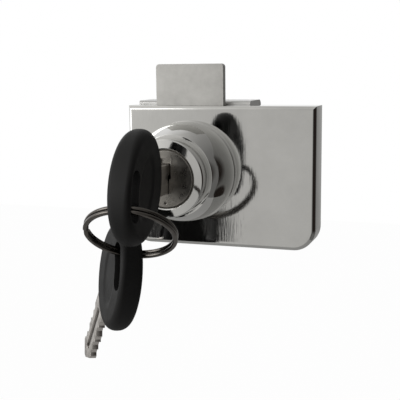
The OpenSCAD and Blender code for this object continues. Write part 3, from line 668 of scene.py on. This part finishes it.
def slot_outline():
    """Outline of the ring slot: a bent band with round ends, about the pin."""
    bend = (SLOT_BEND[0] - PIN_Y, SLOT_BEND[1] - PIN_Z)
    half = SLOT_W / 2
    first = arc(bend, SLOT_R, SLOT_FROM, SLOT_FROM, 1)[0]
    last = arc(bend, SLOT_R, SLOT_TO, SLOT_TO, 1)[0]
    outer = arc(bend, SLOT_R + half, SLOT_FROM, SLOT_TO, ARC_STEPS)
    far_end = arc(last, half, SLOT_TO, SLOT_TO + math.pi, ROUND_STEPS)
    inner = arc(bend, SLOT_R - half, SLOT_TO, SLOT_FROM, ARC_STEPS)
    near_end = arc(first, half, SLOT_FROM - math.pi, SLOT_FROM, ROUND_STEPS)
    return outer + far_end[1:-1] + inner + near_end[1:-1]


def make_head(name, place, body, node):
    """A moulded key head: a cushion form with a ring slot, a slit for the blade and a hole for the pin."""
    right = head_side()
    left = [[Vector((-p[0], p[1], p[2])) for p in ring] for ring in reversed(right)]
    rings = left + right
    points = [p for ring in rings for p in ring]
    head = place_mesh(name, points, tube_faces(len(rings), OVAL_STEPS), place)
    slit = [(SLIT_FROM, -HEAD_L), (HEAD_W, -HEAD_L), (HEAD_W, HEAD_L), (SLIT_FROM, HEAD_L)]
    hole = circle(PIN_HOLE, OVAL_STEPS)
    cut_away(head, [
        make_prism("slot_cut", slot_outline(), -HEAD_T, HEAD_T, place),
        make_prism("slit_cut", slit, -SLIT_HALF, SLIT_HALF, place),
        make_prism("hole_cut", hole, -PIN_REACH, PIN_REACH, place),
    ])
    soften_edges(head, HEAD_SOFT)
    hand_over(head, body, node)


def cut_edge(depths):
    """Points along the upper edge of a blade, from its pin to the start of its tip."""
    points = [(0, BLADE_HALF)]
    for i, depth in enumerate(depths):
        at = CUT_FIRST + i * CUT_PITCH
        if i == 0:
            points.append((at - CUT_FLAT - depth, BLADE_HALF))
        points += [(at - CUT_FLAT, BLADE_HALF - depth), (at + CUT_FLAT, BLADE_HALF - depth)]
        after = depths[i + 1] if i + 1 < len(depths) else 0
        low = max(0, (depth + after - CUT_PITCH + 2 * CUT_FLAT) / 2)
        points.append((at + CUT_FLAT + depth - low, BLADE_HALF - low))
        if after and low == 0:
            points.append((at + CUT_PITCH - CUT_FLAT - after, BLADE_HALF))
    points.append((BLADE_L - TIP_L, BLADE_HALF))
    return points


def make_blade(name, place, body, node):
    """A flat blade with an eye, cuts on both edges, a pointed tip and a groove on each side."""
    upper = cut_edge(CUT_DEPTHS)
    lower = [(y, -z) for y, z in reversed(cut_edge(CUT_DEPTHS[::-1]))]
    eye = arc((0, 0), BLADE_HALF, math.pi * 1.5, math.pi * 0.5, ARC_STEPS)
    outline = upper + [(BLADE_L, TIP_HALF), (BLADE_L, -TIP_HALF)] + lower + eye[1:-1]
    blade = make_prism(name, outline, -BLADE_SIDE, BLADE_SIDE, place)
    groove = arc((GROOVE_FROM + GROOVE_HALF, 0), GROOVE_HALF, math.pi * 0.5, math.pi * 1.5, ROUND_STEPS)
    groove += arc((GROOVE_TO - GROOVE_HALF, 0), GROOVE_HALF, -math.pi * 0.5, math.pi * 0.5, ROUND_STEPS)
    hole = circle(PIN_HOLE, ARC_STEPS)
    floor = BLADE_SIDE - GROOVE_DEPTH
    cut_away(blade, [
        make_prism("right_groove_cut", groove, floor, 2 * BLADE_SIDE, place),
        make_prism("left_groove_cut", groove, -2 * BLADE_SIDE, -floor, place),
        make_prism("eye_cut", hole, -2 * BLADE_SIDE, 2 * BLADE_SIDE, place),
    ])
    soften_edges(blade, BLADE_SOFT)
    hand_over(blade, body, node)


def make_split_ring():
    """Two turns of flat wire that change level at the split."""
    section = rounded_section(WIRE_W, WIRE_T, WIRE_ROUND, CORNER_STEPS)
    place = Matrix.Translation(RING_HOOK) @ Matrix.Rotation(RING_YAW, 4, "Z")
    place = place @ Matrix.Rotation(RING_SLOPE, 4, "X") @ Matrix.Translation((0, RING_R, 0))
    points = []
    for i in range(RING_STEPS + 1):
        a = SPLIT_HALF + (4 * math.pi - 2 * SPLIT_HALF) * i / RING_STEPS
        t = min(1.0, max(0.0, (a - 2 * math.pi + SPLIT_HALF) / (2 * SPLIT_HALF)))
        rise = -TURN_RISE / 2 * math.cos(math.pi * t)
        for u, z in section:
            r = RING_R + u
            points.append(Vector((r * math.cos(SPLIT_AT + a), r * math.sin(SPLIT_AT + a), rise + z)))
    wire = place_mesh("ring_wire", points, tube_faces(RING_STEPS + 1, len(section)), place)
    hand_over(wire, "ring", "split_ring")


def hexagon_reach(angle):
    """Distance from the middle of the socket to its wall in one direction."""
    return SOCKET_HALF / math.cos((angle + math.pi / 6) % (math.pi / 3) - math.pi / 6)


def thread_reach(y, angle):
    """Radius of the threaded shank, its thread running out at both ends."""
    turn = (y / THREAD_PITCH - angle / (2 * math.pi)) % 1
    groove = THREAD_DEPTH * abs(2 * turn - 1)
    start = SCREW_NECK + SCREW_BEVEL
    end = SCREW_TAIL - SCREW_BEVEL
    room = max(0.0, start - y, y - end)
    return SCREW_R - max(groove, room)


def make_clamp_screw(name, pivot, body, node):
    """A set screw: plain tip, threaded shank and a hexagon socket in its rear end."""
    angles = [2 * math.pi * s / SCREW_SIDES for s in range(SCREW_SIDES)]
    steps = round((SCREW_TAIL - SCREW_NECK) / THREAD_STEP)
    rings = [[(y, SCREW_TIP_R, a) for a in angles] for y in (SCREW_TIP, SCREW_NECK)]
    for i in range(steps + 1):
        y = SCREW_NECK + (SCREW_TAIL - SCREW_NECK) * i / steps
        rings.append([(y, thread_reach(y, a), a) for a in angles])
    rings.append([(SCREW_TAIL, hexagon_reach(a), a) for a in angles])
    rings.append([(SCREW_TAIL - SOCKET_DEPTH, hexagon_reach(a), a) for a in angles])
    points = [Vector((r * math.cos(a), y, r * math.sin(a))) for ring in rings for y, r, a in ring]
    faces = tube_faces(len(rings), SCREW_SIDES)
    screw = place_mesh(name, points, faces, Matrix.Translation(PIVOTS[pivot]))
    hand_over(screw, body, node)


def make_springs():
    """Five coil springs beside the wafers, on alternate sides of the keyway."""
    points = []
    faces = []
    rings = SPRING_TURNS * SPRING_STEPS + 1
    coil_r = SPRING_R - SPRING_WIRE
    rise = SPRING_HALF - SPRING_WIRE
    for i in range(SPRING_COUNT):
        side = 1 if i % 2 == 0 else -1
        first = len(points)
        for k in range(rings):
            a = 2 * math.pi * k / SPRING_STEPS
            level = rise * (2 * k / (rings - 1) - 1)
            for s in range(SPRING_SIDES):
                b = 2 * math.pi * s / SPRING_SIDES
                r = coil_r + SPRING_WIRE * math.cos(b)
                x = side * SPRING_X + r * math.cos(a)
                y = SPRING_FIRST + i * SPRING_PITCH + r * math.sin(a)
                points.append(Vector((x, y, level + SPRING_WIRE * math.sin(b))))
        faces += [tuple(first + p for p in face) for face in tube_faces(rings, SPRING_SIDES)]
    coils = place_mesh("spring_coils", points, faces, Matrix.Identity(4))
    hand_over(coils, "plug", "wafer_springs")


def make_liner(name, corner, turn, node):
    """A soft liner in its node's box: a flat sheet with round corners and eased edges."""
    low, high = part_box(node)
    thick, width, height = [abs(size) for size in turn.to_3x3().transposed() @ (high - low)]
    outline = rounded_section(width, height, corner, CORNER_STEPS)
    place = Matrix.Translation((low + high) / 2) @ turn
    liner = make_prism(name, outline, -thick / 2, thick / 2, place)
    soften_edges(liner, LINER_SOFT)
    hand_over(liner, "case", node)


make_case()
make_head("moulded_head", HEAD_PLACE, "head", "key_head")
make_head("moulded_spare_head", SPARE_PLACE, "spare_head", "spare_key_head")
make_blade("milled_blade", BLADE_PLACE, "blade", "key_blade")
make_blade("milled_spare_blade", SPARE_BLADE_PLACE, "spare_blade", "spare_key_blade")
make_split_ring()
make_clamp_screw("threaded_screw_left", "left_screw_turn", "left_screw", "clamp_screw_left")
make_clamp_screw("threaded_screw_right", "right_screw_turn", "right_screw", "clamp_screw_right")
make_springs()
make_liner("glass_liner", GLASS_PAD_CORNER, ALONG_Y, "glass_pad")
make_liner("edge_liner", EDGE_PAD_CORNER, ALONG_Z, "edge_pad")


def make_camera():
    """The photograph's camera."""
    lens = bpy.data.cameras.new("camera")
    lens.sensor_width = SENSOR
    lens.lens = FOCAL_PIXELS / PICTURE_SIDE * SENSOR
    lens.clip_start = CLIP_NEAR
    lens.clip_end = CLIP_FAR
    back = Vector((
        math.sin(CAMERA_YAW) * math.cos(CAMERA_PITCH),
        -math.cos(CAMERA_YAW) * math.cos(CAMERA_PITCH),
        math.sin(CAMERA_PITCH),
    ))
    level = Vector((math.cos(CAMERA_YAW), math.sin(CAMERA_YAW), 0))
    over = back.cross(level)
    right = level * math.cos(CAMERA_ROLL) + over * math.sin(CAMERA_ROLL)
    up = over * math.cos(CAMERA_ROLL) - level * math.sin(CAMERA_ROLL)
    camera = bpy.data.objects.new("camera", lens)
    bpy.context.scene.collection.objects.link(camera)
    turn = Matrix((right, up, back)).transposed().to_4x4()
    camera.matrix_world = Matrix.Translation(CAMERA_PLACE) @ turn
    bpy.context.scene.camera = camera


def side_share(tree, place, side, reach):
    """How far a direction lies towards one side of the room, from 0 to 1."""
    towards = add_node(tree, "VectorMath", {1: side}, operation="DOT_PRODUCT")
    share = add_node(tree, "MapRange", {"From Min": reach[0], "From Max": reach[1]})
    tree.links.new(place.outputs["Generated"], towards.inputs[0])
    tree.links.new(towards.outputs["Value"], share.inputs["Value"])
    return share.outputs["Result"]


def make_world():
    """A room lit from the left for the metal to mirror, with a white backdrop behind the object."""
    world = bpy.data.worlds.new("studio")
    bpy.context.scene.world = world
    world.use_nodes = True
    tree = world.node_tree
    place = add_node(tree, "TexCoord")
    room = add_node(tree, "ValToRGB")
    stops = room.color_ramp.elements
    stops.remove(stops[1])
    stops[0].position = ROOM_TONES[0][0]
    for i, (level, tone) in enumerate(ROOM_TONES):
        stop = stops[0] if i == 0 else stops.new(level)
        stop.color = (tone, tone * ROOM_WARMTH[0], tone * ROOM_WARMTH[1], 1)
    path = add_node(tree, "LightPath")
    mirrored = add_node(tree, "Math", operation="MAXIMUM")
    behind = add_node(tree, "Math", operation="MULTIPLY")
    seen = add_node(tree, "Math", operation="MAXIMUM")
    whole = add_node(tree, "MixRGB", {"Color2": WHITE})
    tree.links.new(side_share(tree, place, ROOM_LIGHT_SIDE, (-1, 1)), room.inputs["Fac"])
    shade = room.outputs["Color"]
    for side, reach, colour in DARK_SPOTS:
        spot = add_node(tree, "MixRGB", {"Color2": (*colour, 1)}, blend_type="MULTIPLY")
        tree.links.new(side_share(tree, place, Vector(side).normalized(), reach), spot.inputs["Fac"])
        tree.links.new(shade, spot.inputs["Color1"])
        shade = spot.outputs["Color"]
    tree.links.new(path.outputs["Is Glossy Ray"], mirrored.inputs[0])
    tree.links.new(path.outputs["Is Transmission Ray"], mirrored.inputs[1])
    tree.links.new(mirrored.outputs["Value"], behind.inputs[0])
    tree.links.new(side_share(tree, place, BACKDROP_SIDE, BACKDROP_REACH), behind.inputs[1])
    tree.links.new(path.outputs["Is Camera Ray"], seen.inputs[0])
    tree.links.new(behind.outputs["Value"], seen.inputs[1])
    tree.links.new(seen.outputs["Value"], whole.inputs["Fac"])
    tree.links.new(shade, whole.inputs["Color1"])
    tree.links.new(whole.outputs["Color"], tree.nodes["Background"].inputs["Color"])


def make_floor():
    """A pale floor far below that keeps the object's shadow: near white to the camera, dim to the metal."""
    left, right = FLOOR_X
    front, rear = FLOOR_Y
    corners = [(left, front), (right, front), (right, rear), (left, rear)]
    mesh = bpy.data.meshes.new("floor")
    mesh.from_pydata([(x, y, FLOOR_LEVEL) for x, y in corners], [], [(0, 1, 2, 3)])
    floor = bpy.data.objects.new("floor", mesh)
    bpy.context.scene.collection.objects.link(floor)
    made = bpy.data.materials.new("pale_floor")
    made.use_nodes = True
    tree = made.node_tree
    tree.nodes.remove(tree.nodes["Principled BSDF"])
    matte = add_node(tree, "BsdfDiffuse", {"Color": (*FLOOR_TONE, 1)})
    white = add_node(tree, "Emission", {"Color": WHITE})
    path = add_node(tree, "LightPath")
    bright = add_node(tree, "Math", {1: FLOOR_SEEN}, operation="MULTIPLY")
    mirrored = add_node(tree, "Math", {1: FLOOR_MIRRORED}, operation="MULTIPLY")
    share = add_node(tree, "Math", operation="MAXIMUM")
    mix = add_node(tree, "MixShader")
    tree.links.new(path.outputs["Is Camera Ray"], bright.inputs[0])
    tree.links.new(path.outputs["Is Glossy Ray"], mirrored.inputs[0])
    tree.links.new(bright.outputs["Value"], share.inputs[0])
    tree.links.new(mirrored.outputs["Value"], share.inputs[1])
    tree.links.new(share.outputs["Value"], mix.inputs["Fac"])
    tree.links.new(matte.outputs["BSDF"], mix.inputs[1])
    tree.links.new(white.outputs["Emission"], mix.inputs[2])
    tree.links.new(mix.outputs["Shader"], tree.nodes["Material Output"].inputs["Surface"])
    mesh.materials.append(made)


def make_lamp():
    """A square soft lamp on the left that faces the lock."""
    lamp = bpy.data.lights.new("left_softbox", "AREA")
    lamp.size = SOFTBOX_SIZE
    lamp.energy = SOFTBOX_POWER
    holder = bpy.data.objects.new("left_softbox", lamp)
    bpy.context.scene.collection.objects.link(holder)
    holder.location = SOFTBOX_PLACE
    holder.rotation_euler = (SOFTBOX_AIM - SOFTBOX_PLACE).to_track_quat("-Z", "Y").to_euler()


make_camera()
make_world()
make_floor()
make_lamp()

bpy.context.scene.view_settings.view_transform = "Standard"
